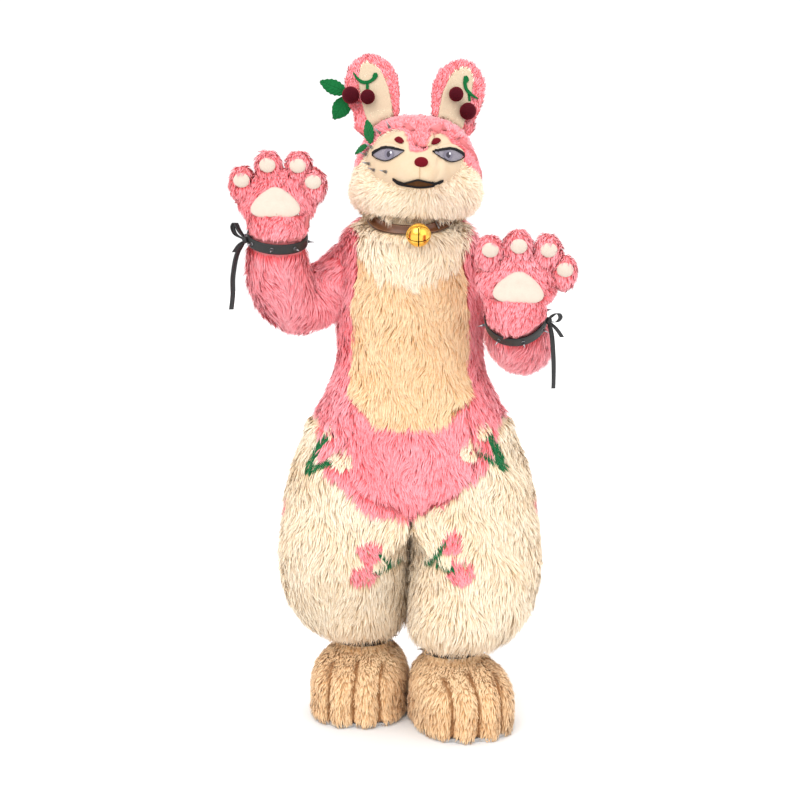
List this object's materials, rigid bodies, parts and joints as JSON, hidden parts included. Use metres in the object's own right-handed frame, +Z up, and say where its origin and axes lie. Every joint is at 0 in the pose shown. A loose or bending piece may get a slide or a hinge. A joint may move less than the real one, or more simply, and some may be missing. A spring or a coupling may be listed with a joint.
{
  "type": "rabbit fursuit",
  "caption": "Worn-pose rabbit fursuit: head, bodysuit, hand paws, feet paws, collar with bell, spiked straps and ribbons.",
  "frame": {"origin": "middle of the wearer's shoulders, which carry the suit, 1.40 m above the floor it stands on", "axes": "+Z up, the face towards -Y, +X to the right as seen from in front of the face"},
  "size_m": [0.9417, 0.6872, 1.9253],
  "materials": {
    "pink_fur": "long acrylic fur, pink roots and paler tips",
    "cream_fur": "long acrylic fur, cream",
    "peach_fur": "long acrylic fur, peach roots and paler tips",
    "tan_fur": "acrylic fur, tan",
    "pad_fleece": "short minky pile, off-white",
    "cherry_velvet": "dark red velvet",
    "green_felt": "green felt",
    "black_strap": "black leather with metal spikes",
    "black_satin": "black satin ribbon",
    "brown_leather": "brown leather",
    "silver_metal": "polished",
    "gold_metal": "polished",
    "eye_mesh": "painted mesh with a black outline",
    "mouth_felt": "felt",
    "sole_rubber": "foam rubber"
  },
  "bodies": {
    "suit": {"ankle_cuff_left": "black_strap", "ankle_cuff_right": "black_strap", "bell_hanger": "silver_metal", "belly_left": "peach_fur", "belly_right": "peach_fur", "brow_left": "cherry_velvet", "brow_right": "cherry_velvet", "buckle": "silver_metal", "chest_bib": "cream_fur", "collar": "brown_leather", "cuff_left": "black_strap", "cuff_right": "black_strap", "ear_leaf_lower": "green_felt", "ear_leaf_upper": "green_felt", "ear_left": "pink_fur", "ear_left_cherry_1": "cherry_velvet", "ear_left_cherry_2": "cherry_velvet", "ear_left_inner": "cream_fur", "ear_left_stem": "green_felt", "ear_right": "pink_fur", "ear_right_cherry_1": "cherry_velvet", "ear_right_cherry_2": "cherry_velvet", "ear_right_inner": "cream_fur", "ear_right_stem": "green_felt", "eye_left": "eye_mesh", "eye_right": "eye_mesh", "face_spike_1": "silver_metal", "face_spike_2": "silver_metal", "face_spike_3": "silver_metal", "face_spike_4": "silver_metal", "face_spike_5": "silver_metal", "face_spike_6": "silver_metal", "face_spike_7": "silver_metal", "foot_left": "tan_fur", "foot_right": "tan_fur", "head_crown": "pink_fur", "head_face": "cream_fur", "leg_left_inner": "cream_fur", "leg_left_outer": "cream_fur", "leg_right_inner": "cream_fur", "leg_right_outer": "cream_fur", "mouth": "mouth_felt", "nose": "cherry_velvet", "palm_pad_left": "pad_fleece", "palm_pad_right": "pad_fleece", "paw_left": "pink_fur", "paw_right": "pink_fur", "pelvis_front": "pink_fur", "ribbon_left": "black_satin", "ribbon_right": "black_satin", "sleeve_left": "pink_fur", "sleeve_right": "pink_fur", "sole_left": "sole_rubber", "sole_right": "sole_rubber", "temple_leaf_lower": "green_felt", "temple_leaf_upper": "green_felt", "trunk_back": "pink_fur"},
    "bell": {"bell": "gold_metal"}
  },
  "joints": [
    {"name": "bell_swing", "type": "hinge", "parent": "suit", "child": "bell", "pos_m": [0.022, -0.14, 0.041], "axis": [1, 0, 0], "range_deg": [-40, 0]}
  ]
}
